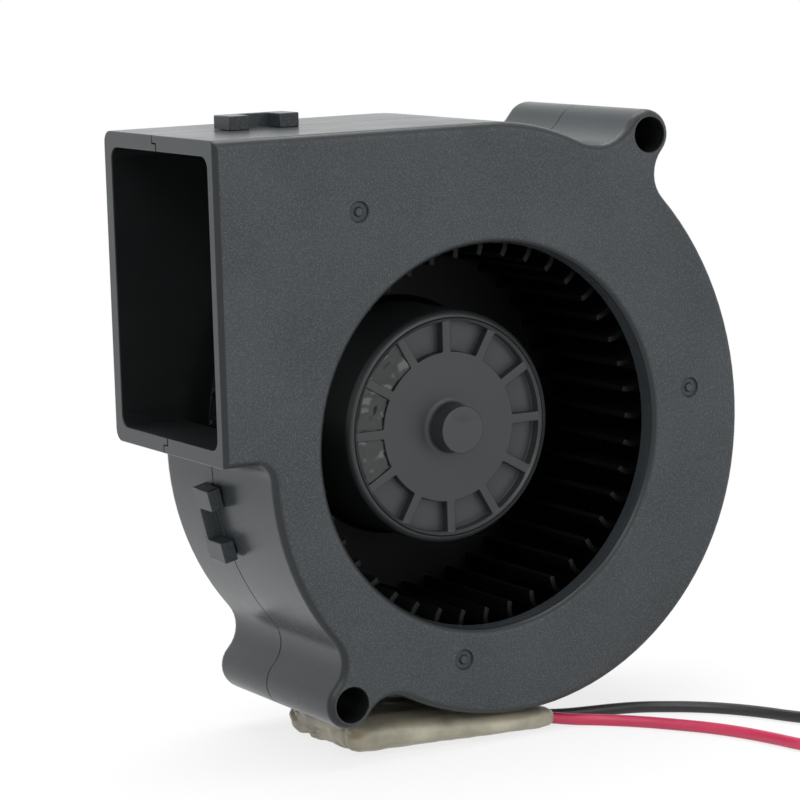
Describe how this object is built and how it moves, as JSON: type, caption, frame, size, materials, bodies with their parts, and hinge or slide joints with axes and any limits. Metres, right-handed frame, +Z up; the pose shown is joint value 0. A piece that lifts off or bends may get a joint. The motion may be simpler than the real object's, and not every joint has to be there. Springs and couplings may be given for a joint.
{
  "type": "dc blower fan",
  "caption": "Centrifugal dc blower with a snap-together scroll casing, side outlet, forward-curved impeller on an outer-rotor motor, and leads ending in a connector.",
  "frame": {"origin": "centre of the bottom of the standing blower, on the surface under the taped lead bundle, midway in the casing's width and depth", "axes": "+X to the right seen from the inlet side, away from the outlet; +Y from the inlet side to the closed back; +Z up. The outlet faces -X"},
  "size_m": [0.0986, 0.0653, 0.0804],
  "materials": {
    "casing_plastic": "fine spark-eroded grain",
    "impeller_plastic": "smooth moulded",
    "putty": "soft sheen",
    "brass": "turned",
    "core_steel": "laminated",
    "insulator_nylon": "satin",
    "copper_wire": "enamelled",
    "pin_metal": "tinned",
    "board_laminate": "solder mask",
    "chip_resin": "matte",
    "chip_ceramic": "matte",
    "bearing_steel": "ground",
    "cage_brass": "pressed",
    "yoke_steel": "zinc plated",
    "magnet_ferrite": "matte",
    "spring_steel": "satin",
    "red_insulation": "satin",
    "black_insulation": "satin",
    "masking_tape": "creped paper with soft sheen",
    "tie_nylon": "satin",
    "plug_nylon": "satin",
    "contact_brass": "tinned"
  },
  "bodies": {
    "housing": {"front_cover": "casing_plastic", "rear_shell": "casing_plastic", "bearing_tube": "brass", "bearing_cap": "casing_plastic", "stator_core": "core_steel", "front_insulator": "insulator_nylon", "rear_insulator": "insulator_nylon", "windings": "copper_wire", "terminal_pins": "pin_metal", "circuit_board": "board_laminate", "hall_sensor": "chip_resin", "driver_chip": "chip_resin", "chip_parts": "chip_ceramic", "front_outer_race": "bearing_steel", "rear_outer_race": "bearing_steel", "bearing_shields": "bearing_steel", "red_lead_inside": "red_insulation", "black_lead_inside": "black_insulation", "lead_bundle": "masking_tape", "red_lead": "red_insulation", "black_lead": "black_insulation", "red_coil": "red_insulation", "black_coil": "black_insulation", "coil_tie": "tie_nylon", "plug_housing": "plug_nylon", "plug_contacts": "contact_brass"},
    "rotor": {"impeller": "impeller_plastic", "balance_putty": "putty", "rotor_yoke": "yoke_steel", "rotor_magnet": "magnet_ferrite", "shaft": "bearing_steel", "front_inner_race": "bearing_steel", "rear_inner_race": "bearing_steel", "preload_spring": "spring_steel", "retaining_clip": "spring_steel"},
    "front_ball_ring": {"front_balls": "bearing_steel", "front_cage": "cage_brass"},
    "rear_ball_ring": {"rear_balls": "bearing_steel", "rear_cage": "cage_brass"}
  },
  "joints": [
    {"name": "impeller_spin", "type": "hinge", "parent": "housing", "child": "rotor", "pos_m": [0, 0, 0.0393], "axis": [0, -1, 0], "continuous": true},
    {"name": "front_balls_roll", "type": "hinge", "parent": "housing", "child": "front_ball_ring", "pos_m": [0, 0.0032, 0.0393], "axis": [0, -1, 0], "continuous": true},
    {"name": "rear_balls_roll", "type": "hinge", "parent": "housing", "child": "rear_ball_ring", "pos_m": [0, 0.0102, 0.0393], "axis": [0, -1, 0], "continuous": true}
  ],
  "couplings": [
    {"joint": "front_balls_roll", "follows": "impeller_spin", "ratio": 0.364},
    {"joint": "rear_balls_roll", "follows": "impeller_spin", "ratio": 0.364}
  ]
}
